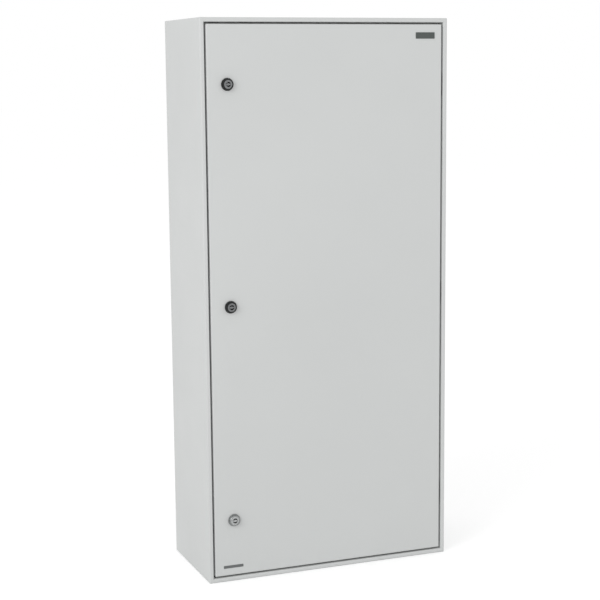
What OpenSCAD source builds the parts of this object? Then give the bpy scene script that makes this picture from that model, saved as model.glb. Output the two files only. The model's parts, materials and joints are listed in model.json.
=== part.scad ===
// Floor-standing sheet-steel cabinet with one inset door.
// The door hangs on three concealed hinges at its right edge.
// It closes with three quarter-turn locks at its left edge.
// Millimetres, +Z up, front towards -Y. The origin lies on the floor under the middle of the cabinet.

/* [Cabinet] */
// Width of the carcass
cabinet_w = 590; // [520:1:900]
// Height of the carcass
cabinet_h = 1260; // [1000:1:2000]
// Depth of the carcass, from its front rim to its back
cabinet_d = 265; // [220:1:500]
// Thickness of the carcass and door sheet
sheet_t = 1.5; // [1.2:0.1:1.8]
// Inside radius of the sheet-metal bends
bend_r = 1.5; // [1:0.1:1.8]
// Radius that the welded corners are ground to
corner_r = 2.5; // [1.5:0.1:2.8]

/* [Door frame] */
// Width of the rim that shows around the door
rim_w = 10; // [8:0.5:20]
// Depth of the frame behind the front plane
return_d = 30; // [28:0.5:40]
// Width of the gutter between the frame's return and its seal lip
gutter_w = 27; // [26.5:0.5:40]
// Distance of the seal lip behind the front plane
lip_setback = 12; // [11:0.5:14]
// Width of the flange that carries the rear panel
rear_flange_w = 20; // [18:1:30]

/* [Door] */
// Gap between the door and the rim
door_gap = 4; // [3:0.1:7]
// Depth of the door's folded edge
door_edge_d = 15; // [12:0.5:16]
// Width of the return behind the door's folded edge
door_return_w = 12; // [8:0.5:14]
// Radius of the door's ground corners
door_corner_r = 3; // [1.5:0.1:3.2]
// Width of the foam gasket
gasket_w = 11; // [8:0.5:12]
// Gap between the gasket and the seal lip
gasket_clear = 0.3; // [0.1:0.1:0.6]
// Width of the stiffening rail's web
rail_w = 25; // [20:1:40]
// Height of the stiffening rail over the door's skin
rail_h = 15; // [10:1:20]
// Width of each foot of the stiffening rail
rail_foot_w = 9; // [8:0.5:12]
// Distance of each rail's middle from the door's edge
rail_inset = 100; // [90:1:180]
// Length of door left free above and below the rails
rail_end_gap = 55; // [48:1:120]
// Pitch of the holes in the rails
rail_hole_pitch = 25; // [20:1:50]
// Diameter of the holes in the rails
rail_hole_d = 5; // [3:0.1:8]

/* [Hinges] */
// Distance of the hinge axis from the door's edge
hinge_inset = 9; // [8.5:0.5:11]
// Distance of the hinge axis behind the front plane
hinge_setback = 7; // [6.8:0.1:7.5]
// Diameter of the hinge pin
pin_d = 5; // [3:0.1:6]
// Play between the pin and the door's knuckle, on the radius
pin_play = 0.05; // [0.02:0.01:0.1]
// Outer radius of the hinge knuckles
knuckle_r = 5; // [4.5:0.1:5.2]
// Height of the door's knuckle
knuckle_h = 30; // [20:1:60]
// Thickness of each ear of the carcass bracket
ear_t = 5; // [3:0.5:10]
// Gap between the knuckle and each ear
knuckle_gap = 0.5; // [0.3:0.1:1]
// Thickness of the bracket's base
bracket_t = 2; // [1.5:0.1:3]
// Height of the outer hinges from the cabinet's ends
hinge_end = 150; // [90:1:300]

/* [Locks] */
// Distance of the lock axis from the door's edge
lock_inset = 46; // [46:0.5:60]
// Height of the outer locks from the cabinet's ends
lock_end = 143; // [100:1:300]
// Diameter of the lock's head on its seal
head_d = 28; // [27:0.5:31]
// Diameter of the tapered head's front
head_face_d = 24; // [23:0.5:27]
// Height of the head over its seal
head_h = 8; // [5:0.1:12]
// Thickness of the seal under the head
lock_seal_t = 1; // [0.5:0.1:2]
// Diameter of the threaded barrel
barrel_d = 22; // [20:0.1:22.5]
// Width of the barrel across its flats
barrel_flat = 20; // [18.5:0.1:21.5]
// Diameter of the turning core
core_d = 16; // [15.5:0.1:17.5]
// Diameter of the core's front disc
disc_d = 19; // [18.5:0.1:22]
// Running play of the core, on the radius
core_play = 0.08; // [0.03:0.01:0.1]
// Diameter of the key recess
key_recess_d = 11.5; // [11:0.1:13.5]
// Depth of the key recess
key_recess_h = 9; // [5:0.5:12]
// Diameter of the double-bit pin
key_pin_d = 5; // [4:0.1:6]
// Thickness of the double-bit wings
key_wing_t = 3; // [2:0.1:4]
// Span of the double-bit wings
key_wing_span = 10; // [8:0.1:10.8]
// Reach of the cam from the lock's axis to its tip
cam_reach = 42; // [36:0.5:44]
// Width of the cam
cam_w = 18; // [14:0.5:22]
// Thickness of the cam
cam_t = 3; // [2:0.1:5]
// Gap between the cam and the back of the frame
cam_clear = 0.6; // [0.3:0.1:2]
// Width across the flats of the core's square end
square_w = 8; // [7:0.1:10]
// Width across the flats of the lock nut
nut_af = 27; // [26:0.5:29]
// Thickness of the lock nut
nut_h = 5; // [3:0.5:8]

/* [Inside] */
// Distance of the mounting plate's edges from the cabinet's sides
plate_side_gap = 45; // [40:1:90]
// Distance of the mounting plate's edges from the cabinet's ends
plate_end_gap = 50; // [42:1:200]
// Thickness of the mounting plate
plate_t = 2; // [1.5:0.1:3]
// Width of the flanges folded back along the plate's sides
plate_flange = 12; // [8:0.5:18]
// Distance from the mounting plate to the rear panel
plate_standoff = 20; // [19:0.5:40]
// Distance of the plate's studs from its edges
stud_inset = 25; // [20:1:80]
// Diameter of the plate's studs and of the earth studs
stud_d = 8; // [6:0.5:10]
// Length of the earth studs
earth_stud_l = 20; // [12:1:30]
// Distance of both earth studs from the door's hinged edge
earth_inset = 50; // [45:1:60]
// Height of the door's earth stud
earth_z = 95; // [60:1:110]
// Distance of the base's earth stud behind the front plane
earth_v = 115; // [90:1:150]

/* [Cable entries] */
// Width of each cable entry
entry_w = 300; // [150:1:340]
// Depth of each cable entry
entry_d = 100; // [60:1:110]
// Overlap of the gland plate round its entry
gland_lap = 22; // [16:1:26]
// Thickness of the gland plate
gland_t = 1.5; // [1:0.1:3]
// Thickness of the gland plate's gasket
gland_gasket_t = 3; // [1:0.1:5]

/* [Fixings] */
// Diameter of the wall-fixing holes
wall_hole_d = 9; // [6:0.5:11]
// Distance of the wall-fixing holes from the cabinet's sides
wall_hole_inset = 27; // [26:0.5:32]
// Distance of the wall-fixing holes from the cabinet's ends
wall_hole_end = 100; // [60:1:200]
// Diameter of the floor-fixing holes
floor_hole_d = 11; // [8:0.5:14]
// Distance of the floor-fixing holes from the cabinet's sides
floor_hole_inset = 45; // [40:1:70]
// Distance of the front floor-fixing holes behind the front plane
floor_hole_front = 60; // [50:1:80]
// Distance of the rear floor-fixing holes from the back
floor_hole_back = 55; // [50:1:80]
// Diameter of the panel and bracket screws
screw_d = 5; // [4:0.1:6]

/* [Hidden] */
$fn = 64;

// Finishes
paint = "#cbcfcc";
zinc = "#b9bcbb";
dark_zinc = "#4a4d4d";
bright_zinc = "#9a9e9e";
foam = "#3c3e3e";
steel = "#8f9393";
brass = "#a98f4a";

// Overshoot of a cut past the faces that it goes through
cut = 1;

// Places along the depth, counted from the front plane
head_proud = lock_seal_t + head_h;
front_y = (head_proud - cabinet_d) / 2;
gutter_floor = return_d - sheet_t;
rear_panel_back = cabinet_d - sheet_t;
rear_panel_front = rear_panel_back - sheet_t;
plate_back = rear_panel_front - plate_standoff;
plate_front = plate_back - plate_t;

// Fit of the carcass
bend_out = bend_r + sheet_t;
lip_inset = rim_w + gutter_w;
panel_reach = max(lip_inset + sheet_t, rear_flange_w) + cut;
edge_clear = 0.5;
screw_play = 0.2;
screw_hole_r = screw_d / 2 + screw_play;
screw_head_r = 0.8 * screw_d;
screw_head_h = 0.5 * screw_d;
rear_screw_inset = (bend_out + rear_flange_w) / 2;
side_screw_count = 6;
end_screw_count = 3;

// Fit of the door
door_w = cabinet_w - 2 * (rim_w + door_gap);
door_h = cabinet_h - 2 * (rim_w + door_gap);
door_z = rim_w + door_gap;
gasket_t = lip_setback - gasket_clear - sheet_t;
gasket_inner_r = 1;
rail_x = door_w / 2 - rail_inset;
rail_z = door_z + rail_end_gap;
rail_l = door_h - 2 * rail_end_gap;
rail_holes = floor((rail_l - rail_hole_pitch) / rail_hole_pitch) + 1;

// Fit of the hinges
pivot_x = door_w / 2 - hinge_inset;
pivot_y = front_y + hinge_setback;
hinge_h = knuckle_h + 2 * (knuckle_gap + ear_t);
hinge_z = [cabinet_h - hinge_end, cabinet_h / 2, hinge_end];
notch_clear = 4;
gutter_out = cabinet_w / 2 - rim_w;
gutter_in = gutter_out - gutter_w;
bracket_side_gap = 1;
ear_side_gap = 2;
ear_in = gutter_in + ear_side_gap - pivot_x;
ear_out = -1.5;
ear_step = 10;
ear_shoulder = 4;
knuckle_foot = 1.5;
pin_head_h = 2;
pin_head_lap = 1.5;
hinge_screw_offset = 5;
hinge_screw_tail = 5;
hinge_screw_x = pivot_x + hinge_screw_offset;
hinge_screw_z = knuckle_h / 3;

// Fit of the locks
lock_x = -door_w / 2 + lock_inset;
lock_z = [cabinet_h - lock_end, cabinet_h / 2, lock_end];
head_chamfer = 0.8;
head_front = -head_proud;
disc_recess = 1;
disc_front = head_front + disc_recess;
cup_floor = -lock_seal_t;
disc_clear = 0.1;
seal_inset = 0.5;
barrel_play = 0.3;
nut_play = 0.1;
cam_front = return_d + cam_clear;
cam_back = cam_front + cam_t;
barrel_cam_gap = 3;
barrel_back = cam_front - barrel_cam_gap;
cam_hole_play = 0.1;
square_gap = 0.1;
washer_t = 1.2;
cam_bolt_r = 3;
cam_bolt_l = 12;
cam_bolt_head_h = 4;
cam_bolt_gap = 1;

// Fit of the cable entries
entry_v = (return_d + cabinet_d) / 2;
entry_r = 6;
gland_inner = sheet_t + gland_gasket_t;
gland_gasket_inset = 1;
gland_gasket_setback = 2;
gland_screw_r = 2.5;
gland_screw_play = 0.1;
gland_hole_r = gland_screw_r + gland_screw_play;
gland_head_r = 1.8 * gland_screw_r;
gland_head_h = 1.6 * gland_screw_r;
gland_screw_x = [-1, 0, 1] * (entry_w + gland_lap) / 2;
gland_screw_v = [-1, 1] * (entry_d + gland_lap) / 2;

// Fit of the mounting plate
plate_w = cabinet_w - 2 * plate_side_gap;
plate_h = cabinet_h - 2 * plate_end_gap;
stud_r = stud_d / 2;
stud_play = 0.05;
stud_tail = 4;
plate_hole_play = 0.4;
spacer_wall = 3;
stud_x = [-1, 1] * (plate_w / 2 - stud_inset);
stud_z = [for (side = [-1, 0, 1]) cabinet_h / 2 + side * (plate_h / 2 - stud_inset)];
stud_nut_h = 0.8 * stud_d;
stud_nut_r = 0.95 * stud_d;
nut_flange_w = 1.5;
nut_flange_h = 0.2 * stud_nut_h;
earth_x = door_w / 2 - earth_inset;

// A rectangle from the origin with rounded corners
module rounded_rect(size, r) {
    translate([r, 0]) square([size.x - 2 * r, size.y]);
    translate([0, r]) square([size.x, size.y - 2 * r]);
    for (x = [r, size.x - r], y = [r, size.y - r])
        translate([x, y]) circle(r);
}

// The same rectangle about the origin
module centred_rect(size, r) {
    translate([-size.x / 2, -size.y / 2]) rounded_rect(size, r);
}

// A quarter of a bend, round the origin
module bend(t) {
    difference() {
        intersection() {
            circle(bend_r + t);
            square(bend_r + t);
        }
        circle(bend_r);
    }
}

// Section of a folded sheet: straight runs with a quarter bend to the left (1) or right (-1) between them.
// It starts at the origin along +X, with the sheet's thickness on its left.
module folded(runs, turns, t, i = 0) {
    square([runs[i], t]);
    if (i < len(turns))
        translate([runs[i], 0])
            if (turns[i] > 0) {
                translate([0, bend_r + t]) rotate(-90) bend(t);
                translate([bend_r + t, bend_r + t]) rotate(90) folded(runs, turns, t, i + 1);
            } else {
                translate([0, -bend_r]) bend(t);
                translate([bend_r, -bend_r]) rotate(-90) folded(runs, turns, t, i + 1);
            }
}

// Extrudes an outline drawn in X and Z from depth v0 to depth v1 behind the front plane
module slab(v0, v1) {
    translate([0, front_y + v1, 0]) rotate([90, 0, 0]) linear_extrude(v1 - v0) children();
}

// Revolves an outline of radius and depth about an axis that runs from front to back
module turned() {
    translate([0, front_y, 0]) rotate([-90, 0, 0]) rotate_extrude() children();
}

// Extrudes an outline drawn in depth and length across a wall, from u0 to u1 inside its outer face
module on_wall(u0, u1) {
    translate([u0, 0, 0]) rotate([90, 0, 90]) linear_extrude(u1 - u0) children();
}

// Places a bar that is drawn along +Z, with +X inwards, on one side of a w by h front
module on_side(side, w, h) {
    if (side == "left")
        translate([-w / 2, front_y, 0]) children();
    if (side == "right")
        mirror([1, 0, 0]) translate([-w / 2, front_y, 0]) children();
    if (side == "top")
        translate([-w / 2, front_y, h]) rotate([0, 90, 0]) children();
    if (side == "bottom")
        translate([w / 2, front_y, 0]) rotate([0, -90, 0]) children();
}

// A folded bar with both ends mitred and its outer corners ground round
module mitred_bar(length, depth, reach, r) {
    intersection() {
        linear_extrude(length) children();
        translate([0, depth, 0]) rotate([90, 0, 0]) linear_extrude(depth)
            intersection() {
                polygon([[0, 0], [reach, reach], [reach, length - reach], [0, length]]);
                rounded_rect([2 * reach, length], r);
            }
    }
}

function side_length(side, w, h) = side == "left" || side == "right" ? h : w;

// Carcass

// Section of every carcass wall: seal lip, gutter, return, rim, wall and rear flange
module carcass_section() {
    lip = return_d - lip_setback - bend_out;
    gutter = gutter_w - 2 * bend_r;
    frame_return = return_d - 2 * bend_out;
    rim = rim_w - 2 * bend_out;
    wall = cabinet_d - 2 * bend_out;
    flange = rear_flange_w - bend_out;
    translate([lip_inset + sheet_t, lip_setback]) rotate(90)
        folded([lip, gutter, frame_return, rim, wall, flange], [1, 1, -1, -1, -1], sheet_t);
}

module carcass_panel(side) {
    on_side(side, cabinet_w, cabinet_h)
        mitred_bar(side_length(side, cabinet_w, cabinet_h), cabinet_d, panel_reach, corner_r)
            carcass_section();
}

// Spots of the screws that hold the rear panel to the carcass flanges
module at_rear_screws_of(side) {
    run = side_length(side, cabinet_w, cabinet_h);
    count = side == "left" || side == "right" ? side_screw_count : end_screw_count;
    on_side(side, cabinet_w, cabinet_h)
        for (i = [0 : count - 1])
            translate([rear_screw_inset, -front_y, run * (i + 1) / (count + 1)]) children();
}

module rear_screw_holes(side) {
    at_rear_screws_of(side)
        slab(rear_panel_front - cut, cabinet_d + cut) circle(screw_hole_r);
}

module left_side_panel() {
    color(paint) difference() {
        carcass_panel("left");
        rear_screw_holes("left");
    }
}

module right_side_panel() {
    color(paint) difference() {
        carcass_panel("right");
        rear_screw_holes("right");
        at_hinge_screws() slab(gutter_floor - cut, return_d + cut) circle(screw_hole_r);
    }
}

module entry_outline(margin) {
    translate([entry_v, cabinet_w / 2])
        centred_rect([entry_d + 2 * margin, entry_w + 2 * margin], entry_r);
}

module at_gland_screws() {
    for (x = gland_screw_x, v = gland_screw_v)
        translate([entry_v + v, cabinet_w / 2 + x]) children();
}

// Roof or base, with its cable entry cut out
module entry_panel(side) {
    difference() {
        carcass_panel(side);
        rear_screw_holes(side);
        on_side(side, cabinet_w, cabinet_h) on_wall(-cut, sheet_t + cut) {
            entry_outline(0);
            at_gland_screws() circle(gland_hole_r);
        }
    }
}

module roof_panel() {
    color(paint) entry_panel("top");
}

module base_panel() {
    color(paint) difference() {
        entry_panel("bottom");
        for (x = [-1, 1] * (cabinet_w / 2 - floor_hole_inset),
             v = [floor_hole_front, cabinet_d - floor_hole_back])
            translate([x, front_y + v, -cut]) cylinder(h = sheet_t + 2 * cut, d = floor_hole_d);
    }
}

module rear_panel() {
    size = [cabinet_w - 2 * (bend_out + edge_clear), cabinet_h - 2 * (bend_out + edge_clear)];
    color(paint) difference() {
        translate([0, 0, cabinet_h / 2]) slab(rear_panel_front, rear_panel_back) centred_rect(size, corner_r);
        for (side = ["left", "right", "top", "bottom"])
            rear_screw_holes(side);
        for (x = [-1, 1] * (cabinet_w / 2 - wall_hole_inset), z = [wall_hole_end, cabinet_h - wall_hole_end])
            translate([x, 0, z]) slab(rear_panel_front - cut, cabinet_d + cut) circle(d = wall_hole_d);
    }
}

module rear_panel_screws() {
    color(zinc)
        for (side = ["left", "right", "top", "bottom"])
            at_rear_screws_of(side) {
                slab(rear_panel_front - screw_head_h, rear_panel_front) circle(screw_head_r);
                slab(rear_panel_front - screw_head_h, cabinet_d) circle(screw_d / 2);
            }
}

// Cable entries

module gland_plate(side) {
    color(zinc) on_side(side, cabinet_w, cabinet_h) on_wall(gland_inner, gland_inner + gland_t)
        difference() {
            entry_outline(gland_lap);
            at_gland_screws() circle(gland_hole_r);
        }
}

module gland_gasket(side) {
    color(foam) on_side(side, cabinet_w, cabinet_h) on_wall(sheet_t, gland_inner)
        difference() {
            entry_outline(gland_lap - gland_gasket_inset);
            entry_outline(gland_gasket_setback);
            at_gland_screws() circle(gland_hole_r);
        }
}

module roof_gland_plate() gland_plate("top");
module base_gland_plate() gland_plate("bottom");
module roof_gland_gasket() gland_gasket("top");
module base_gland_gasket() gland_gasket("bottom");

module gland_plate_screws() {
    head_u = gland_inner + gland_t;
    color(zinc)
        for (side = ["top", "bottom"])
            on_side(side, cabinet_w, cabinet_h) {
                on_wall(edge_clear, head_u) at_gland_screws() circle(gland_screw_r);
                on_wall(head_u, head_u + gland_head_h) at_gland_screws() circle(gland_head_r, $fn = 6);
            }
}

// Mounting plate

module at_studs() {
    for (x = stud_x, z = stud_z)
        translate([x, 0, z]) children();
}

module mounting_plate() {
    flange = plate_flange - bend_r - plate_t;
    web = plate_w - 2 * (bend_r + plate_t);
    color(zinc) difference() {
        translate([-plate_w / 2, front_y + plate_front + plate_flange, (cabinet_h - plate_h) / 2])
            linear_extrude(plate_h) rotate(-90) folded([flange, web, flange], [1, 1], plate_t);
        at_studs() slab(plate_front - cut, plate_back + cut) circle(stud_r + plate_hole_play);
    }
}

module plate_studs() {
    color(steel) at_studs()
        slab(plate_front - stud_nut_h - stud_tail, rear_panel_front) circle(stud_r);
}

module plate_spacers() {
    color(zinc) at_studs()
        slab(plate_back, rear_panel_front) difference() {
            circle(stud_r + spacer_wall);
            circle(stud_r + stud_play);
        }
}

// Hexagon nut with a flange, seated on depth v and reaching forward
module stud_nut(v) {
    difference() {
        union() {
            slab(v - stud_nut_h, v) circle(stud_nut_r, $fn = 6);
            slab(v - nut_flange_h, v) circle(stud_nut_r + nut_flange_w);
        }
        slab(v - stud_nut_h - cut, v + cut) circle(stud_r + stud_play);
    }
}

module plate_nuts() {
    color(zinc) at_studs() stud_nut(plate_front);
}

// Earth stud with a hexagon nut, welded to the base
module cabinet_earth_stud() {
    color(brass) on_side("bottom", cabinet_w, cabinet_h) translate([0, earth_v, cabinet_w / 2 - earth_x]) {
        on_wall(sheet_t, sheet_t + earth_stud_l) circle(stud_r);
        on_wall(sheet_t, sheet_t + stud_nut_h) circle(stud_nut_r, $fn = 6);
    }
}

// Hinges

module at_hinge(i) {
    translate([0, 0, hinge_z[i]]) children();
}

module at_hinge_screws() {
    for (z = hinge_z, side = [-1, 1])
        translate([hinge_screw_x, 0, z + side * hinge_screw_z]) children();
}

// Plan of a bracket's ear about the hinge axis: a boss, and an arm that reaches back to the gutter's floor
module ear_plan() {
    root = gutter_floor - bracket_t - hinge_setback;
    circle(knuckle_r);
    polygon([[-knuckle_r, 0], [ear_out, 0], [ear_out, root], [ear_in, root], [ear_in, ear_step],
        [-knuckle_r, ear_shoulder]]);
}

module hinge_bracket(i) {
    root = gutter_floor - bracket_t;
    color(zinc) difference() {
        union() {
            at_hinge(i) slab(root, gutter_floor)
                translate([gutter_in + bracket_side_gap, -hinge_h / 2])
                    square([gutter_w - 2 * bracket_side_gap, hinge_h]);
            for (z = [hinge_h / 2 - ear_t, -hinge_h / 2])
                translate([pivot_x, pivot_y, hinge_z[i] + z]) linear_extrude(ear_t) ear_plan();
        }
        translate([pivot_x, pivot_y, hinge_z[i] - hinge_h]) cylinder(h = 2 * hinge_h, d = pin_d);
        at_hinge_screws() slab(root - cut, gutter_floor + cut) circle(screw_hole_r);
    }
}

module upper_hinge_bracket() hinge_bracket(0);
module middle_hinge_bracket() hinge_bracket(1);
module lower_hinge_bracket() hinge_bracket(2);

module hinge_pins() {
    color(steel)
        for (z = hinge_z)
            translate([pivot_x, pivot_y, z - hinge_h / 2]) {
                cylinder(h = hinge_h, d = pin_d);
                translate([0, 0, hinge_h]) cylinder(h = pin_head_h, r = pin_d / 2 + pin_head_lap);
            }
}

module hinge_screws() {
    root = gutter_floor - bracket_t;
    color(zinc) at_hinge_screws() {
        slab(root - screw_head_h, root) circle(screw_head_r);
        slab(root - screw_head_h, return_d + hinge_screw_tail) circle(screw_d / 2);
    }
}

// Door side of a hinge: a barrel on a block that is welded to the door's skin
module hinge_knuckle(i) {
    color(zinc) translate([pivot_x, pivot_y, hinge_z[i] - knuckle_h / 2]) difference() {
        linear_extrude(knuckle_h) {
            circle(knuckle_r);
            translate([-knuckle_r - knuckle_foot, sheet_t - hinge_setback])
                square([2 * knuckle_r + knuckle_foot, hinge_setback - sheet_t]);
        }
        translate([0, 0, -cut]) cylinder(h = knuckle_h + 2 * cut, r = pin_d / 2 + pin_play);
    }
}

module upper_hinge_knuckle() hinge_knuckle(0);
module middle_hinge_knuckle() hinge_knuckle(1);
module lower_hinge_knuckle() hinge_knuckle(2);

// Door

// A block behind the front plane whose edges along its width and its height are all bent round
module bent_block(w, h, v0, v1, r) {
    intersection() {
        translate([-w / 2, front_y + v0, -h / 2]) linear_extrude(h) rounded_rect([w, v1 - v0], r);
        translate([-w / 2, front_y + v0, h / 2]) rotate([0, 90, 0])
            linear_extrude(w) rounded_rect([h, v1 - v0], r);
    }
}

// Folded pan of the door: skin, edges and the return behind them
module door_pan() {
    inner = [door_w - 2 * door_return_w, door_h - 2 * door_return_w];
    translate([0, 0, cabinet_h / 2]) difference() {
        intersection() {
            bent_block(door_w, door_h, 0, door_edge_d, bend_out);
            slab(0, door_edge_d) centred_rect([door_w, door_h], door_corner_r);
        }
        bent_block(door_w - 2 * sheet_t, door_h - 2 * sheet_t, sheet_t, door_edge_d - sheet_t, bend_r);
        slab(door_edge_d / 2, door_edge_d + cut) centred_rect(inner, bend_r);
    }
}

module barrel_outline(play) {
    intersection() {
        circle(barrel_d / 2 + play);
        square([barrel_flat + 2 * play, barrel_d + 2 * play], center = true);
    }
}

module door_leaf() {
    notch_h = hinge_h + 2 * notch_clear;
    color(paint) difference() {
        door_pan();
        for (i = [0 : 2])
            at_lock(i) slab(-cut, sheet_t + cut) barrel_outline(barrel_play);
        for (z = hinge_z)
            translate([door_w / 2 - door_return_w - cut, front_y + bend_out, z - notch_h / 2])
                cube([door_return_w + 2 * cut, door_edge_d, notch_h]);
    }
}

module door_gasket() {
    inset = lip_inset + (sheet_t - gasket_w) / 2;
    outer = [cabinet_w - 2 * inset, cabinet_h - 2 * inset];
    color(foam) translate([0, 0, cabinet_h / 2]) slab(sheet_t, sheet_t + gasket_t) difference() {
        centred_rect(outer, gasket_w);
        centred_rect(outer - [2, 2] * gasket_w, gasket_inner_r);
    }
}

// Hat-section rail with a row of holes, welded to the inside of the door's skin
module door_rail(x) {
    foot = rail_foot_w - bend_out;
    leg = rail_h - 2 * bend_r - sheet_t;
    web = rail_w - 2 * bend_out;
    run = rail_w + 2 * (rail_foot_w - sheet_t);
    first = (rail_l - (rail_holes - 1) * rail_hole_pitch) / 2;
    color(zinc) difference() {
        translate([x - run / 2, front_y + sheet_t, rail_z]) linear_extrude(rail_l)
            folded([foot, leg - sheet_t, web, leg - sheet_t, foot], [1, -1, -1, 1], sheet_t);
        for (i = [0 : rail_holes - 1])
            translate([x, 0, rail_z + first + i * rail_hole_pitch])
                slab(rail_h - cut, rail_h + sheet_t + cut) circle(d = rail_hole_d);
    }
}

module left_door_rail() door_rail(-rail_x);
module right_door_rail() door_rail(rail_x);

module door_earth_stud() {
    color(brass) translate([earth_x, 0, earth_z]) {
        slab(sheet_t, sheet_t + earth_stud_l) circle(stud_r);
        slab(sheet_t, sheet_t + stud_nut_h) circle(stud_nut_r, $fn = 6);
    }
}

// Locks

module at_lock(i) {
    translate([lock_x, 0, lock_z[i]]) children();
}

// Head and barrel of a lock, bored for its core
module lock_housing(i, finish) {
    core_r = core_d / 2 + core_play;
    disc_r = disc_d / 2 + core_play;
    head_r = head_d / 2;
    face_r = head_face_d / 2;
    color(finish) at_lock(i) difference() {
        union() {
            turned() polygon([
                [0, cup_floor], [0, head_front + head_chamfer], [disc_r + head_chamfer, head_front],
                [face_r - head_chamfer, head_front], [face_r, head_front + head_chamfer],
                [head_r, cup_floor - head_chamfer], [head_r, cup_floor],
            ]);
            slab(cup_floor, barrel_back) barrel_outline(0);
        }
        slab(head_front - cut, cup_floor) circle(disc_r);
        slab(cup_floor - cut, barrel_back + cut) circle(core_r);
    }
}

module upper_lock_housing() lock_housing(0, dark_zinc);
module middle_lock_housing() lock_housing(1, dark_zinc);
module lower_lock_housing() lock_housing(2, bright_zinc);

module lock_seals() {
    color(foam)
        for (i = [0 : 2])
            at_lock(i) slab(-lock_seal_t, 0) difference() {
                circle(head_d / 2 - seal_inset);
                barrel_outline(barrel_play);
            }
}

module lock_nuts() {
    color(zinc)
        for (i = [0 : 2])
            at_lock(i) slab(sheet_t, sheet_t + nut_h) difference() {
                circle(nut_af / sqrt(3), $fn = 6);
                circle(barrel_d / 2 + nut_play);
            }
}

// Turning core with a double-bit pin at the bottom of its key recess and a square end for the cam
module lock_core(i) {
    color(steel) at_lock(i) difference() {
        union() {
            slab(disc_front, cup_floor - disc_clear) circle(d = disc_d);
            slab(disc_front, cam_front) circle(d = core_d);
            slab(cam_front, cam_back - square_gap) square(square_w, center = true);
        }
        slab(disc_front - cut, disc_front + key_recess_h) difference() {
            circle(d = key_recess_d);
            circle(d = key_pin_d);
            square([key_wing_span, key_wing_t], center = true);
        }
        slab(cam_back - cam_bolt_l, cam_back + cut) circle(cam_bolt_r);
    }
}

module upper_lock_core() lock_core(0);
module middle_lock_core() lock_core(1);
module lower_lock_core() lock_core(2);

// Cam that turns from hanging down to reaching behind the frame
module lock_cam(i) {
    tip_r = cam_w / 2;
    color(zinc) at_lock(i) slab(cam_front, cam_back) difference() {
        union() {
            circle(tip_r);
            translate([-tip_r, tip_r - cam_reach]) square([cam_w, cam_reach - tip_r]);
            translate([0, tip_r - cam_reach]) circle(tip_r);
        }
        square(square_w + 2 * cam_hole_play, center = true);
    }
}

module upper_lock_cam() lock_cam(0);
module middle_lock_cam() lock_cam(1);
module lower_lock_cam() lock_cam(2);

module cam_screw(i) {
    color(zinc) at_lock(i) {
        slab(cam_back, cam_back + washer_t) circle(square_w);
        slab(cam_back + washer_t, cam_back + washer_t + cam_bolt_head_h) circle(2 * cam_bolt_r, $fn = 6);
        slab(cam_back - cam_bolt_l + cam_bolt_gap, cam_back + washer_t) circle(cam_bolt_r);
    }
}

module upper_cam_screw() cam_screw(0);
module middle_cam_screw() cam_screw(1);
module lower_cam_screw() cam_screw(2);

left_side_panel();
right_side_panel();
roof_panel();
base_panel();
rear_panel();
rear_panel_screws();
roof_gland_plate();
roof_gland_gasket();
base_gland_plate();
base_gland_gasket();
gland_plate_screws();
mounting_plate();
plate_studs();
plate_spacers();
plate_nuts();
cabinet_earth_stud();
upper_hinge_bracket();
middle_hinge_bracket();
lower_hinge_bracket();
hinge_pins();
hinge_screws();
door_leaf();
door_gasket();
left_door_rail();
right_door_rail();
door_earth_stud();
upper_hinge_knuckle();
middle_hinge_knuckle();
lower_hinge_knuckle();
upper_lock_housing();
middle_lock_housing();
lower_lock_housing();
lock_seals();
lock_nuts();
upper_lock_core();
middle_lock_core();
lower_lock_core();
upper_lock_cam();
middle_lock_cam();
lower_lock_cam();
upper_cam_screw();
middle_cam_screw();
lower_cam_screw();
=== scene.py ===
import json
import math

import bmesh
import bpy
from mathutils import Euler, Matrix, Vector


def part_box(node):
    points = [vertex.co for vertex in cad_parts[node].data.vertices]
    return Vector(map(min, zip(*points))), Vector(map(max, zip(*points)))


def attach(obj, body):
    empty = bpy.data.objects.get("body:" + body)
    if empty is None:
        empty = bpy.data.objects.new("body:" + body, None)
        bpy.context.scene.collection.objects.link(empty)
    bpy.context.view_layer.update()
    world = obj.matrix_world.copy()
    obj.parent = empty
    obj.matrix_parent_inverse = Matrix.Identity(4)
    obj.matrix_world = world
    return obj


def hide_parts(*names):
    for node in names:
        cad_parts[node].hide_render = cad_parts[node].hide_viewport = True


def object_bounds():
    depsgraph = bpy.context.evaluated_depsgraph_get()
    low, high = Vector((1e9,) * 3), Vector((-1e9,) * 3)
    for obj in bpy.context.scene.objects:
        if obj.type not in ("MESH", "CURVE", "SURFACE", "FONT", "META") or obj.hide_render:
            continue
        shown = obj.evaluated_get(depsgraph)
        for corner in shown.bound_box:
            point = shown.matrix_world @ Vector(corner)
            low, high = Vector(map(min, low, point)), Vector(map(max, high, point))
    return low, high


# Looks of a floor-standing sheet-steel cabinet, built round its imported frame.
# Metres, +Z up, the door faces -Y.

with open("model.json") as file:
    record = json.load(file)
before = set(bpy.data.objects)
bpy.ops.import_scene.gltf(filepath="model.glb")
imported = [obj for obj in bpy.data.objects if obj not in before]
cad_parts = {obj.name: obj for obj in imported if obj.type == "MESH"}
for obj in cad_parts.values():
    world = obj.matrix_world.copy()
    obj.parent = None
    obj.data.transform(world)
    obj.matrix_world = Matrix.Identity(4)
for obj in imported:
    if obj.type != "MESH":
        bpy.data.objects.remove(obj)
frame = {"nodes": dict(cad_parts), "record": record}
cad_low, cad_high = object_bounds()
nodes = frame["nodes"]
scene = bpy.context.scene
scene.view_settings.view_transform = "Standard"

MM = 0.001

# Camera, fitted to the outline of the cabinet in a 600 by 600 picture

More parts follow.
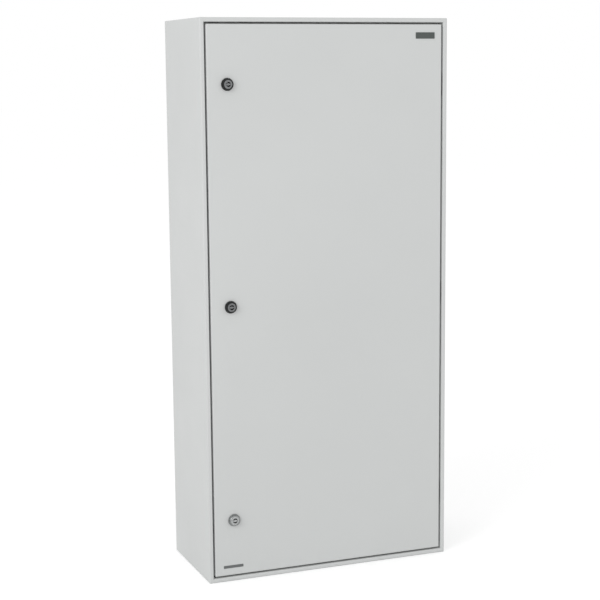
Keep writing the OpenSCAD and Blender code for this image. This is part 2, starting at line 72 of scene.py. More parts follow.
CAMERA_PLACE = Vector((-1.2689, -3.2061, 1.1467))
CAMERA_AZIMUTH = math.radians(21.271)
CAMERA_PITCH = math.radians(8.801)
CAMERA_ROLL = math.radians(-0.515)
CAMERA_LENS = 89.20
CAMERA_SENSOR = 36.0


def make_camera():
    data = bpy.data.cameras.new("camera")
    data.sensor_width = CAMERA_SENSOR
    data.lens = CAMERA_LENS
    camera = bpy.data.objects.new("camera", data)
    scene.collection.objects.link(camera)
    turn = Matrix.Rotation(-CAMERA_AZIMUTH, 4, "Z")
    tilt = Matrix.Rotation(math.pi / 2 - CAMERA_PITCH, 4, "X")
    roll = Matrix.Rotation(CAMERA_ROLL, 4, "Z")
    camera.matrix_world = Matrix.Translation(CAMERA_PLACE) @ turn @ tilt @ roll
    scene.camera = camera


make_camera()

# Node helpers


def reckoned(tree, operation, one, other):
    """The result of a Math node on a socket and a second socket or a number."""
    node = tree.nodes.new("ShaderNodeMath")
    node.operation = operation
    tree.links.new(one, node.inputs[0])
    if isinstance(other, float):
        node.inputs[1].default_value = other
    else:
        tree.links.new(other, node.inputs[1])
    return node.outputs[0]


# Shader helpers

# Soft noise keeps mostly between these values
NOISE_LOW = 0.3
NOISE_HIGH = 0.7


def new_finish(name, roughness, metallic=0.0):
    """A material with its shader and the piece's own coordinates."""
    material = bpy.data.materials.new(name)
    material.use_nodes = True
    tree = material.node_tree
    shader = tree.nodes["Principled BSDF"]
    shader.inputs["Roughness"].default_value = roughness
    shader.inputs["Metallic"].default_value = metallic
    place = tree.nodes.new("ShaderNodeTexCoord").outputs["Object"]
    return material, tree, shader, place


def noise(tree, place, scale, detail=2.0):
    """Soft noise, with scale in waves per unit of the place."""
    node = tree.nodes.new("ShaderNodeTexNoise")
    node.inputs["Scale"].default_value = scale
    node.inputs["Detail"].default_value = detail
    tree.links.new(place, node.inputs["Vector"])
    return node.outputs["Fac"]


def cells(tree, place, scale, feature="F1"):
    """A pattern of cells, with scale in cells per unit of the place."""
    node = tree.nodes.new("ShaderNodeTexVoronoi")
    node.feature = feature
    node.inputs["Scale"].default_value = scale
    tree.links.new(place, node.inputs["Vector"])
    return node


def stretched(tree, place, factors):
    """The same coordinates, stretched along the axes, for drawn or brushed metal."""
    node = tree.nodes.new("ShaderNodeMapping")
    node.inputs["Scale"].default_value = factors
    tree.links.new(place, node.inputs["Vector"])
    return node.outputs["Vector"]


def mapped(tree, value, low, high, start=NOISE_LOW, end=NOISE_HIGH):
    """A value spread from low to high while the given one goes from start to end."""
    node = tree.nodes.new("ShaderNodeMapRange")
    node.inputs["From Min"].default_value = start
    node.inputs["From Max"].default_value = end
    node.inputs["To Min"].default_value = low
    node.inputs["To Max"].default_value = high
    tree.links.new(value, node.inputs["Value"])
    return node.outputs["Result"]


def ramped(tree, value, *stops):
    """A colour from a value, through stops of (position, colour)."""
    node = tree.nodes.new("ShaderNodeValToRGB")
    points = node.color_ramp.elements
    while len(points) < len(stops):
        points.new(0.5)
    for point, (position, colour) in zip(points, stops):
        point.position = position
        point.color = (*colour, 1.0)
    tree.links.new(value, node.inputs["Fac"])
    return node.outputs["Color"]


def two_toned(tree, value, dark, light):
    """A colour that follows soft noise from dark to light."""
    return ramped(tree, value, (NOISE_LOW, dark), (NOISE_HIGH, light))


def bumped(tree, shader, height, strength, distance):
    """Gives the shader small bumps that follow a height."""
    node = tree.nodes.new("ShaderNodeBump")
    node.inputs["Strength"].default_value = strength
    node.inputs["Distance"].default_value = distance
    tree.links.new(height, node.inputs["Height"])
    tree.links.new(node.outputs["Normal"], shader.inputs["Normal"])


# Finishes


def powder_coat(name, pale, shade):
    """Light grey powder coat: a slow drift of tone and gloss over the sheet, and a fine orange peel."""
    material, tree, shader, place = new_finish(name, 0.46)
    tone = noise(tree, place, scale=2.4, detail=3.0)
    tree.links.new(two_toned(tree, tone, shade, pale), shader.inputs["Base Color"])
    gloss = noise(tree, place, scale=9.0)
    tree.links.new(mapped(tree, gloss, low=0.42, high=0.52), shader.inputs["Roughness"])
    peel = noise(tree, place, scale=850.0)
    bumped(tree, shader, peel, strength=0.26, distance=0.4 * MM)
    return material


def galvanised_sheet(name):
    """Zinc spangles somewhat under a centimetre across, each with its own tone and gloss."""
    material, tree, shader, place = new_finish(name, 0.42, 1.0)
    spangle = cells(tree, place, scale=120.0)
    split = tree.nodes.new("ShaderNodeSeparateColor")
    tree.links.new(spangle.outputs["Color"], split.inputs["Color"])
    tones = ramped(
        tree, split.outputs["Red"],
        (0.0, (0.56, 0.58, 0.59)), (0.5, (0.60, 0.62, 0.63)), (1.0, (0.64, 0.66, 0.67)),
    )
    tree.links.new(tones, shader.inputs["Base Color"])
    gloss = mapped(tree, split.outputs["Green"], low=0.40, high=0.48, start=0.0, end=1.0)
    tree.links.new(gloss, shader.inputs["Roughness"])
    grain = noise(tree, place, scale=420.0, detail=3.0)
    bumped(tree, shader, grain, strength=0.08, distance=0.3 * MM)
    return material


def zinc_plating(name):
    """Bright zinc plate with a faint blue and straw cast."""
    material, tree, shader, place = new_finish(name, 0.34, 1.0)
    cast = noise(tree, place, scale=60.0, detail=3.0)
    tones = ramped(
        tree, cast,
        (0.30, (0.58, 0.60, 0.64)), (0.55, (0.66, 0.67, 0.68)), (0.75, (0.68, 0.66, 0.60)),
    )
    tree.links.new(tones, shader.inputs["Base Color"])
    gloss = noise(tree, place, scale=210.0)
    tree.links.new(mapped(tree, gloss, low=0.28, high=0.42), shader.inputs["Roughness"])
    grain = noise(tree, place, scale=1500.0)
    bumped(tree, shader, grain, strength=0.07, distance=0.1 * MM)
    return material


def turned_steel(name):
    """Ground steel pin, with fine rings round its upright axis."""
    material, tree, shader, place = new_finish(name, 0.28, 1.0)
    rings = noise(tree, stretched(tree, place, (40.0, 40.0, 5200.0)), scale=1.0)
    tones = two_toned(tree, rings, (0.50, 0.51, 0.52), (0.62, 0.63, 0.64))
    tree.links.new(tones, shader.inputs["Base Color"])
    tree.links.new(mapped(tree, rings, low=0.22, high=0.36), shader.inputs["Roughness"])
    bumped(tree, shader, rings, strength=0.1, distance=0.05 * MM)
    return material


def casting(name, dark, light, roughness, metallic, shine=0.5):
    """Die-cast lock metal with a slightly uneven skin."""
    material, tree, shader, place = new_finish(name, roughness, metallic)
    shader.inputs["Specular IOR Level"].default_value = shine
    skin = noise(tree, place, scale=340.0, detail=3.0)
    tree.links.new(two_toned(tree, skin, dark, light), shader.inputs["Base Color"])
    gloss = noise(tree, place, scale=150.0)
    tree.links.new(mapped(tree, gloss, roughness - 0.06, roughness + 0.08), shader.inputs["Roughness"])
    grain = noise(tree, place, scale=2400.0)
    bumped(tree, shader, grain, strength=0.12, distance=0.1 * MM)
    return material


def foamed_gasket(name):
    """Closed-cell foam with a skin of small pits."""
    material, tree, shader, place = new_finish(name, 0.92)
    mottle = noise(tree, place, scale=130.0, detail=3.0)
    tones = two_toned(tree, mottle, (0.018, 0.019, 0.019), (0.040, 0.041, 0.040))
    tree.links.new(tones, shader.inputs["Base Color"])
    pits = cells(tree, place, scale=700.0, feature="SMOOTH_F1")
    pits.inputs["Smoothness"].default_value = 0.6
    bumped(tree, shader, pits.outputs["Distance"], strength=0.4, distance=0.5 * MM)
    return material


def moulded_rubber(name):
    """Black rubber of the lock seals, with a faint bloom."""
    material, tree, shader, place = new_finish(name, 0.72)
    bloom = noise(tree, place, scale=180.0, detail=3.0)
    tones = two_toned(tree, bloom, (0.014, 0.014, 0.014), (0.030, 0.030, 0.031))
    tree.links.new(tones, shader.inputs["Base Color"])
    grain = noise(tree, place, scale=1300.0)
    bumped(tree, shader, grain, strength=0.15, distance=0.2 * MM)
    return material


def printed_foil(name, dark, light, roughness, metallic):
    """Bare foil of a badge or label: fine brushing along its length."""
    material, tree, shader, place = new_finish(name, roughness, metallic)
    brushing = noise(tree, stretched(tree, place, (45.0, 900.0, 2600.0)), scale=1.0, detail=3.0)
    tree.links.new(two_toned(tree, brushing, dark, light), shader.inputs["Base Color"])
    tree.links.new(mapped(tree, brushing, roughness - 0.05, roughness + 0.07), shader.inputs["Roughness"])
    bumped(tree, shader, brushing, strength=0.1, distance=0.05 * MM)
    return material


# One finish for each material slot of the record

PAINT_PALE = (0.616, 0.629, 0.624)
PAINT_SHADE = (0.598, 0.611, 0.606)

finishes = {
    "carcass_paint": powder_coat("carcass_powder_coat", PAINT_PALE, PAINT_SHADE),
    "door_paint": powder_coat("door_powder_coat", PAINT_PALE, PAINT_SHADE),
    "galvanised": galvanised_sheet("galvanised_sheet"),
    "zinc_plate": zinc_plating("bright_zinc_plate"),
    "bright_steel": turned_steel("turned_steel"),
    "lock_dark": casting("dark_lock_casting", (0.006, 0.007, 0.007), (0.013, 0.014, 0.014),
                         roughness=0.45, metallic=0.0, shine=0.2),
    "lock_bright": casting("nickel_lock_casting", (0.24, 0.25, 0.25), (0.31, 0.32, 0.32),
                           roughness=0.38, metallic=1.0),
    "core_dark": casting("dark_lock_core", (0.13, 0.134, 0.137), (0.18, 0.184, 0.187),
                         roughness=0.38, metallic=1.0),
    "core_bright": casting("nickel_lock_core", (0.36, 0.37, 0.37), (0.43, 0.44, 0.44),
                           roughness=0.34, metallic=1.0),
    "foam": foamed_gasket("foamed_gasket"),
    "rubber_seal": moulded_rubber("moulded_rubber"),
}

for row in frame["record"]["subparts"]:
    slots = nodes[row["node"]].data.materials
    slots.clear()
    slots.append(finishes[row["material_slot"]])

# Mesh helpers

ROUND_SIDES = 24
SMOOTH_CREASE = 35.0
HEXAGON_CREASE = 18.0
SAME_POINT = 1e-6
SAME_ANGLE = 1e-9


def add_piece(name, mesh, body, stands_for=()):
    """A piece of the object that rides on a body, in place of the CAD nodes that it stands for."""
    piece = bpy.data.objects.new(name, mesh)
    scene.collection.objects.link(piece)
    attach(piece, body)
    if stands_for:
        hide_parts(*stands_for)


def mesh_from(name, bm, finish=None, crease=SMOOTH_CREASE):
    """A mesh with outward faces, smooth but for edges sharper than the crease."""
    mesh = bpy.data.meshes.new(name)
    bmesh.ops.recalc_face_normals(bm, faces=bm.faces)
    for face in bm.faces:
        face.smooth = True
    bm.to_mesh(mesh)
    bm.free()
    mesh.set_sharp_from_angle(angle=math.radians(crease))
    if finish:
        mesh.materials.append(finish)
    return mesh


def joined_rings(bm, rings, closed=False):
    """Faces between rings of as many points each, capped at both ends unless the rings close up."""
    count = len(rings[0])
    pairs = list(zip(rings, rings[1:]))
    if closed:
        pairs.append((rings[-1], rings[0]))
    else:
        bm.faces.new(rings[0])
        bm.faces.new(rings[-1])
    for one, other in pairs:
        for i in range(count):
            j = (i + 1) % count
            bm.faces.new((one[i], one[j], other[j], other[i]))


def turned_mesh(name, rings, angles, closed=False, crease=SMOOTH_CREASE):
    """A mesh about Z from rings of (height, radius at each angle)."""
    bm = bmesh.new()
    made = []
    for height, radius in rings:
        made.append([
            bm.verts.new((radius(a) * math.cos(a), radius(a) * math.sin(a), height)) for a in angles
        ])
    joined_rings(bm, made, closed)
    return mesh_from(name, bm, crease=crease)


def solid_boxes(node):
    """Lowest and highest corners of every separate solid in a CAD node, in a fixed order."""
    bm = bmesh.new()
    bm.from_mesh(nodes[node].data)
    bmesh.ops.remove_doubles(bm, verts=bm.verts, dist=SAME_POINT)
    left = set(bm.verts)
    boxes = []
    while left:
        grown = [left.pop()]
        solid = []
        while grown:
            vert = grown.pop()
            solid.append(vert.co.copy())
            for edge in vert.link_edges:
                other = edge.other_vert(vert)
                if other in left:
                    left.remove(other)
                    grown.append(other)
        low_corner = Vector([min(c[k] for c in solid) for k in range(3)])
        high_corner = Vector([max(c[k] for c in solid) for k in range(3)])
        boxes.append((low_corner, high_corner))
    bm.free()
    return sorted(boxes, key=lambda b: tuple(round(v, 5) for v in (*b[0], *b[1])))


def corner_arcs(width, height, radius, steps):
    """Points of a rounded rectangle about the origin, anticlockwise."""
    points = []
    for quarter, (sx, sy) in enumerate(((1, 1), (-1, 1), (-1, -1), (1, -1))):
        for step in range(steps + 1):
            angle = math.pi / 2 * (quarter + step / steps)
            points.append((
                sx * (width / 2 - radius) + radius * math.cos(angle),
                sy * (height / 2 - radius) + radius * math.sin(angle),
            ))
    return points


# Bare badge at the door's upper hinged corner and bare label at its lower lock corner

door_low, door_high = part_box("door_leaf")
BADGE_SIZE = (47 * MM, 14 * MM)
BADGE_THICKNESS = 1.2 * MM
BADGE_CORNER = 1.2 * MM
BADGE_CENTRE = (door_high.x - 42 * MM, door_high.z - 25 * MM)
LABEL_SIZE = (47 * MM, 6.5 * MM)
LABEL_THICKNESS = 0.5 * MM
LABEL_CORNER = 0.8 * MM
LABEL_CENTRE = (door_low.x + 43 * MM, door_low.z + 20.5 * MM)
PLATE_SOFTNESS = 0.3
PLATE_CORNER_STEPS = 5


def door_plate(name, centre, size, thickness, corner, finish):
    """A thin plate with rounded corners and a softened front edge, glued flat on the door's skin."""
    soft = PLATE_SOFTNESS * thickness
    bm = bmesh.new()
    rings = []
    for depth, inset in ((0.0, 0.0), (thickness - soft, 0.0), (thickness, soft)):
        outline = corner_arcs(size[0] - 2 * inset, size[1] - 2 * inset, corner - inset, PLATE_CORNER_STEPS)
        y = door_low.y - depth
        rings.append([bm.verts.new((centre[0] + x, y, centre[1] + z)) for x, z in outline])
    joined_rings(bm, rings)
    add_piece(name, mesh_from(name, bm, finish), "door")


badge_foil = printed_foil("dark_badge_foil", (0.044, 0.053, 0.050), (0.070, 0.080, 0.076),
                          roughness=0.45, metallic=0.0)
label_foil = printed_foil("grey_label_foil", (0.100, 0.106, 0.105), (0.150, 0.157, 0.156),
                          roughness=0.42, metallic=0.2)
door_plate("bare_badge", BADGE_CENTRE, BADGE_SIZE, BADGE_THICKNESS, BADGE_CORNER, badge_foil)
door_plate("bare_label", LABEL_CENTRE, LABEL_SIZE, LABEL_THICKNESS, LABEL_CORNER, label_foil)

# Geometry Nodes helpers


def new_tree(name, inputs):
    """A Geometry Nodes tree with named inputs; returns the tree and its input and output nodes."""
    tree = bpy.data.node_groups.new(name, "GeometryNodeTree")
    tree.interface.new_socket("Geometry", in_out="INPUT", socket_type="NodeSocketGeometry")
    for label, kind in inputs:
        tree.interface.new_socket(label, in_out="INPUT", socket_type=kind)
    tree.interface.new_socket("Geometry", in_out="OUTPUT", socket_type="NodeSocketGeometry")
    return tree, tree.nodes.new("NodeGroupInput"), tree.nodes.new("NodeGroupOutput")


def finish_tree(tree, source, given, output):
    """Ends a tree in Realize Instances and Set Material."""
    real = tree.nodes.new("GeometryNodeRealizeInstances")
    tree.links.new(source, real.inputs["Geometry"])
    painted = tree.nodes.new("GeometryNodeSetMaterial")
    tree.links.new(real.outputs["Geometry"], painted.inputs["Geometry"])
    tree.links.new(given.outputs["Finish"], painted.inputs["Material"])
    tree.links.new(painted.outputs["Geometry"], output.inputs["Geometry"])


def grown_mesh(name, tree, values, start=None):
    """Runs a tree on a start mesh and returns the result as a plain mesh."""
    base = start or bpy.data.meshes.new(name + "_start")
    carrier = bpy.data.objects.new(name + "_carrier", base)
    scene.collection.objects.link(carrier)
    modifier = carrier.modifiers.new("grow", "NODES")
    modifier.node_group = tree
    for item in tree.interface.items_tree:
        if item.in_out == "INPUT" and item.name in values:
            modifier[item.identifier] = values[item.name]
    graph = bpy.context.evaluated_depsgraph_get()
    mesh = bpy.data.meshes.new_from_object(carrier.evaluated_get(graph))
    mesh.name = name
    carrier.modifiers.remove(modifier)
    bpy.data.objects.remove(carrier)
    return mesh


def seat_tree():
    """Places a pattern, turned one way, on every point of the start mesh."""
    tree, given, output = new_tree("seated_patterns", (
        ("Pattern", "NodeSocketObject"), ("Turn", "NodeSocketRotation"), ("Finish", "NodeSocketMaterial"),
    ))
    pattern = tree.nodes.new("GeometryNodeObjectInfo")
    tree.links.new(given.outputs["Pattern"], pattern.inputs["Object"])
    seats = tree.nodes.new("GeometryNodeInstanceOnPoints")
    tree.links.new(given.outputs["Geometry"], seats.inputs["Points"])
    tree.links.new(pattern.outputs["Geometry"], seats.inputs["Instance"])
    tree.links.new(given.outputs["Turn"], seats.inputs["Rotation"])
    finish_tree(tree, seats.outputs["Instances"], given, output)
    return tree


DOT_SIDES = 14
DOT_TOP = 0.7


def row_tree():
    """A straight row of low round dots, narrower at the top, such as spot welds."""
    tree, given, output = new_tree("dot_row", (
        ("Count", "NodeSocketInt"), ("First", "NodeSocketVector"), ("Pitch", "NodeSocketVector"),
        ("Radius", "NodeSocketFloat"), ("Height", "NodeSocketFloat"), ("Turn", "NodeSocketRotation"),
        ("Finish", "NodeSocketMaterial"),
    ))
    line = tree.nodes.new("GeometryNodeMeshLine")
    tree.links.new(given.outputs["Count"], line.inputs["Count"])
    tree.links.new(given.outputs["First"], line.inputs["Start Location"])
    tree.links.new(given.outputs["Pitch"], line.inputs["Offset"])
    dot = tree.nodes.new("GeometryNodeMeshCone")
    dot.inputs["Vertices"].default_value = DOT_SIDES
    top_radius = reckoned(tree, "MULTIPLY", given.outputs["Radius"], DOT_TOP)
    tree.links.new(top_radius, dot.inputs["Radius Top"])
    tree.links.new(given.outputs["Radius"], dot.inputs["Radius Bottom"])
    tree.links.new(given.outputs["Height"], dot.inputs["Depth"])
    spread = tree.nodes.new("GeometryNodeInstanceOnPoints")
    tree.links.new(line.outputs["Mesh"], spread.inputs["Points"])
    tree.links.new(dot.outputs["Mesh"], spread.inputs["Instance"])
    tree.links.new(given.outputs["Turn"], spread.inputs["Rotation"])
    finish_tree(tree, spread.outputs["Instances"], given, output)
    return tree


# Thread of a rod: its ridge and its root as shares of the pitch
RIDGE_SHARE = 0.45
ROOT_SHARE = 0.55
RIDGE_SIDES = 4
STEPS_PER_TURN = 18


def thread_tree():
    """A threaded rod along Z from the origin: a core with a ridge wound round it."""
    tree, given, output = new_tree("threaded_rod", (
        ("Radius", "NodeSocketFloat"), ("Pitch", "NodeSocketFloat"), ("Turns", "NodeSocketFloat"),
        ("Length", "NodeSocketFloat"), ("Finish", "NodeSocketMaterial"),
    ))
    rod_radius = given.outputs["Radius"]
    rod_length = given.outputs["Length"]
    pitch = given.outputs["Pitch"]
    crest = reckoned(tree, "MULTIPLY", pitch, RIDGE_SHARE)
    helix_radius = reckoned(tree, "SUBTRACT", rod_radius, crest)
    winding = reckoned(tree, "SUBTRACT", rod_length, pitch)
    helix = tree.nodes.new("GeometryNodeCurveSpiral")
    helix.inputs["Resolution"].default_value = STEPS_PER_TURN
    tree.links.new(given.outputs["Turns"], helix.inputs["Rotations"])
    tree.links.new(helix_radius, helix.inputs["Start Radius"])
    tree.links.new(helix_radius, helix.inputs["End Radius"])
    tree.links.new(winding, helix.inputs["Height"])
    ridge = tree.nodes.new("GeometryNodeCurvePrimitiveCircle")
    ridge.inputs["Resolution"].default_value = RIDGE_SIDES
    tree.links.new(crest, ridge.inputs["Radius"])
    wound = tree.nodes.new("GeometryNodeCurveToMesh")
    wound.inputs["Fill Caps"].default_value = True
    tree.links.new(helix.outputs["Curve"], wound.inputs["Curve"])
    tree.links.new(ridge.outputs["Curve"], wound.inputs["Profile Curve"])
    lifted = tree.nodes.new("GeometryNodeTransform")
    half_pitch = tree.nodes.new("ShaderNodeCombineXYZ")
    tree.links.new(reckoned(tree, "MULTIPLY", pitch, 0.5), half_pitch.inputs["Z"])
    tree.links.new(wound.outputs["Mesh"], lifted.inputs["Geometry"])
    tree.links.new(half_pitch.outputs["Vector"], lifted.inputs["Translation"])
    core = tree.nodes.new("GeometryNodeMeshCylinder")
    core.inputs["Vertices"].default_value = ROUND_SIDES
    root = reckoned(tree, "MULTIPLY", pitch, ROOT_SHARE)
    tree.links.new(reckoned(tree, "SUBTRACT", rod_radius, root), core.inputs["Radius"])
    tree.links.new(rod_length, core.inputs["Depth"])
    raised = tree.nodes.new("GeometryNodeTransform")
    half_length = tree.nodes.new("ShaderNodeCombineXYZ")
    tree.links.new(reckoned(tree, "MULTIPLY", rod_length, 0.5), half_length.inputs["Z"])
    tree.links.new(core.outputs["Mesh"], raised.inputs["Geometry"])
    tree.links.new(half_length.outputs["Vector"], raised.inputs["Translation"])
    both = tree.nodes.new("GeometryNodeJoinGeometry")
    tree.links.new(lifted.outputs["Geometry"], both.inputs["Geometry"])
    tree.links.new(raised.outputs["Geometry"], both.inputs["Geometry"])
    finish_tree(tree, both.outputs["Geometry"], given, output)
    return tree


BEAD_CORNER_STEPS = 8
DOME_POINTS = 13


def bead_tree():
    """A domed strip laid round a rounded rectangle."""
    tree, given, output = new_tree("domed_bead", (
        ("Width", "NodeSocketFloat"), ("Height", "NodeSocketFloat"), ("Corner", "NodeSocketFloat"),
        ("Strip", "NodeSocketFloat"), ("Rise", "NodeSocketFloat"), ("Place", "NodeSocketVector"),
        ("Turn", "NodeSocketRotation"), ("Finish", "NodeSocketMaterial"),
    ))
    route = tree.nodes.new("GeometryNodeCurvePrimitiveQuadrilateral")
    tree.links.new(given.outputs["Width"], route.inputs["Width"])
    tree.links.new(given.outputs["Height"], route.inputs["Height"])
    corners = tree.nodes.new("GeometryNodeFilletCurve")
    corners.mode = "POLY"
    corners.inputs["Count"].default_value = BEAD_CORNER_STEPS
    tree.links.new(route.outputs["Curve"], corners.inputs["Curve"])
    tree.links.new(given.outputs["Corner"], corners.inputs["Radius"])
    dome = tree.nodes.new("GeometryNodeCurveArc")
    dome.inputs["Resolution"].default_value = DOME_POINTS
    dome.inputs["Radius"].default_value = 1.0
    dome.inputs["Start Angle"].default_value = math.pi
    dome.inputs["Sweep Angle"].default_value = math.pi
    closed = tree.nodes.new("GeometryNodeSetSplineCyclic")
    closed.inputs["Cyclic"].default_value = True
    tree.links.new(dome.outputs["Curve"], closed.inputs["Geometry"])
    half_strip = reckoned(tree, "MULTIPLY", given.outputs["Strip"], 0.5)
    section_size = tree.nodes.new("ShaderNodeCombineXYZ")
    section_size.inputs["Z"].default_value = 1.0
    tree.links.new(half_strip, section_size.inputs["X"])
    tree.links.new(given.outputs["Rise"], section_size.inputs["Y"])
    section = tree.nodes.new("GeometryNodeTransform")
    tree.links.new(closed.outputs["Geometry"], section.inputs["Geometry"])
    tree.links.new(section_size.outputs["Vector"], section.inputs["Scale"])
    laid = tree.nodes.new("GeometryNodeCurveToMesh")
    tree.links.new(corners.outputs["Curve"], laid.inputs["Curve"])
    tree.links.new(section.outputs["Geometry"], laid.inputs["Profile Curve"])
    placed = tree.nodes.new("GeometryNodeTransform")
    tree.links.new(laid.outputs["Mesh"], placed.inputs["Geometry"])
    tree.links.new(given.outputs["Place"], placed.inputs["Translation"])
    tree.links.new(given.outputs["Turn"], placed.inputs["Rotation"])
    finish_tree(tree, placed.outputs["Geometry"], given, output)
    return tree


SEATS = seat_tree()
DOTS = row_tree()
THREAD = thread_tree()
BEAD = bead_tree()

# Which way a pattern's upper end points
TO_FRONT = Euler((math.pi / 2, 0.0, 0.0))
TO_BACK = Euler((-math.pi / 2, 0.0, 0.0))
UPWARDS = Euler((0.0, 0.0, 0.0))
DOWNWARDS = Euler((math.pi, 0.0, 0.0))


def seat_patterns(name, mesh, seats, turn, body, slot, stands_for=()):
    """One piece of a pattern repeated at its seats."""
    pattern = bpy.data.objects.new(name + "_pattern", mesh)
    points = bpy.data.meshes.new(name + "_seats")
    points.from_pydata([tuple(seat) for seat in seats], [], [])
    values = {"Pattern": pattern, "Turn": turn, "Finish": finishes[slot]}
    result = grown_mesh(name, SEATS, values, points)
    bpy.data.objects.remove(pattern)
    add_piece(name, result, body, stands_for)


# Fastener patterns: each stands on Z, with its seat at the origin and its drive upwards

EVEN_ANGLES = [math.tau * i / ROUND_SIDES for i in range(ROUND_SIDES)]

# Crown of a pan head, from its rim to its flat top, as shares of the head's height and radius
PAN_CROWN = ((0.25, 1.0), (0.62, 0.94), (0.88, 0.82), (1.0, 0.62))

# Cross recess, as shares of the head's radius and, for its floor, of the head's height
CROSS_ARM_HALF = 0.17
CROSS_ARM_LENGTH = 0.52
CROSS_FLOOR = 0.35
CROSS_TAPER = 0.8

# Chamfer of a hexagon head or nut, as a share of its height, and the circle that it leaves on the face
CHAMFER_SHARE = 0.14
HEAD_FACE = 0.94
NUT_FACE = 0.95

# Dimple in a hexagon head: rim and floor as shares of the flats, and the floor's share of the height
DIMPLE_RIM = 0.6
DIMPLE_FLOOR = 0.5
DIMPLE_HEIGHT = 0.92

# Slope between a nut's flange and its hexagon, as a share of the nut's height
FLANGE_SLOPE = 0.1


def cross_drive(arm_half, arm_length):
    """Radius of a cross recess at an angle, and the angles that catch its corners."""
    corner = math.atan2(arm_half, arm_length)
    waist = (corner + math.pi / 4) / 2

    def radius(angle):
        lean = (angle + math.pi / 4) % (math.pi / 2) - math.pi / 4
        if abs(lean) <= corner + SAME_ANGLE:
            return arm_length / math.cos(lean)
        return arm_half / abs(math.sin(lean))

    quarter = (-corner, 0.0, corner, waist, math.pi / 4, math.pi / 2 - waist)
    return radius, [math.pi / 2 * k + lean for k in range(4) for lean in quarter]


def even(radius):
    """The same radius at every angle."""
    return lambda angle: radius


def hexagon(across_flats):
    """Radius of a hexagon at an angle."""
    return lambda angle: across_flats / 2 / math.cos((angle + math.pi / 6) % (math.pi / 3) - math.pi / 6)


def pan_head_screw(name, head_r, head_h, shank_r, tail):
    """A pan head with a cross recess, on a plain shank."""
    recess, angles = cross_drive(CROSS_ARM_HALF * head_r, CROSS_ARM_LENGTH * head_r)
    rings = [(-tail, even(shank_r)), (0.0, even(shank_r)), (0.0, even(head_r))]
    rings += [(height * head_h, even(radius * head_r)) for height, radius in PAN_CROWN]
    rings += [
        (head_h, recess),
        (CROSS_FLOOR * head_h, lambda angle: CROSS_TAPER * recess(angle)),
    ]
    return turned_mesh(name, rings, angles)


def hexagon_screw(name, across_flats, head_h, shank_r, tail, washer_r=0.0, washer_t=0.0):
    """A dimpled hexagon head on a plain shank, with a washer where it has a radius."""
    flats = hexagon(across_flats)
    rings = [(-tail, even(shank_r)), (0.0, even(shank_r))]
    if washer_r:
        rings += [(0.0, even(washer_r)), (washer_t, even(washer_r)), (washer_t, flats)]
    else:
        rings += [(0.0, flats)]
    rings += [
        (washer_t + head_h - CHAMFER_SHARE * head_h, flats),
        (washer_t + head_h, even(HEAD_FACE * across_flats / 2)),
        (washer_t + head_h, even(DIMPLE_RIM * across_flats / 2)),
        (washer_t + DIMPLE_HEIGHT * head_h, even(DIMPLE_FLOOR * across_flats / 2)),
    ]
    return turned_mesh(name, rings, EVEN_ANGLES, crease=HEXAGON_CREASE)


def hexagon_nut(name, across_flats, height, bore_r, flange_r=0.0, flange_t=0.0):
    """A nut with a chamfered bore, and a flange where it has a radius."""
    flats = hexagon(across_flats)
    face_r = NUT_FACE * across_flats / 2
    chamfer = CHAMFER_SHARE * height
    rings = [(0.0, even(bore_r)), (0.0, even(flange_r or face_r))]
    if flange_r:
        rings += [(flange_t, even(flange_r)), (flange_t + FLANGE_SLOPE * height, flats)]
    else:
        rings += [(chamfer, flats)]
    rings += [
        (height - chamfer, flats),
        (height, even(face_r)),
        (height, even(bore_r + chamfer)),
        (height - chamfer, even(bore_r)),
    ]
    return turned_mesh(name, rings, EVEN_ANGLES, closed=True, crease=HEXAGON_CREASE)


def threaded_rod(name, radius, pitch, length, finish):
    """A rod with a thread that stops half a pitch short of each end."""
    values = {
        "Radius": radius, "Pitch": pitch, "Turns": round(length / pitch - 1.0, 2), "Length": length,
        "Finish": finish,
    }
    return grown_mesh(name, THREAD, values)


def middle(box):
    """Middle of a box of two corners."""
    return (box[0] + box[1]) / 2


# Screws of the rear panel and of the hinge brackets

SCREW_D = 5 * MM
SCREW_HEAD_H = 0.5 * SCREW_D
SCREW_HEAD_R = 0.8 * SCREW_D


def panel_screws(node, name):
    """Pan-head screws that face the front, one for each solid of a node."""
    boxes = solid_boxes(node)
    tail = boxes[0][1].y - boxes[0][0].y - SCREW_HEAD_H
    seats = [Vector((middle(b).x, b[0].y + SCREW_HEAD_H, middle(b).z)) for b in boxes]
    screw = pan_head_screw(name, SCREW_HEAD_R, SCREW_HEAD_H, SCREW_D / 2, tail)
    seat_patterns(name, screw, seats, TO_FRONT, "cabinet", "zinc_plate", (node,))


panel_screws("rear_panel_screws", "rear_panel_pan_screws")
panel_screws("hinge_screws", "hinge_pan_screws")

# Screws of the gland plates

GLAND_SCREW_R = 2.5 * MM
GLAND_HEAD_H = 1.6 * GLAND_SCREW_R
GLAND_HEAD_R = 1.8 * GLAND_SCREW_R
GLAND_HEAD_AF = 2 * GLAND_HEAD_R * math.cos(math.pi / 6)

gland_boxes = solid_boxes("gland_plate_screws")
gland_tail = gland_boxes[0][1].z - gland_boxes[0][0].z - GLAND_HEAD_H
base_seats = []
roof_seats = []
for screw_box in gland_boxes:
    x, y, z = middle(screw_box)
    if z < cad_high.z / 2:
        base_seats.append(Vector((x, y, screw_box[1].z - GLAND_HEAD_H)))
    else:
        roof_seats.append(Vector((x, y, screw_box[0].z + GLAND_HEAD_H)))
gland_screw = hexagon_screw("gland_screw", GLAND_HEAD_AF, GLAND_HEAD_H, GLAND_SCREW_R, gland_tail)
for name, seats, turn in (
    ("base_gland_screws", base_seats, UPWARDS),
    ("roof_gland_screws", roof_seats, DOWNWARDS),
):
    seat_patterns(name, gland_screw, seats, turn, "cabinet", "zinc_plate", ("gland_plate_screws",))

# Studs and nuts of the mounting plate

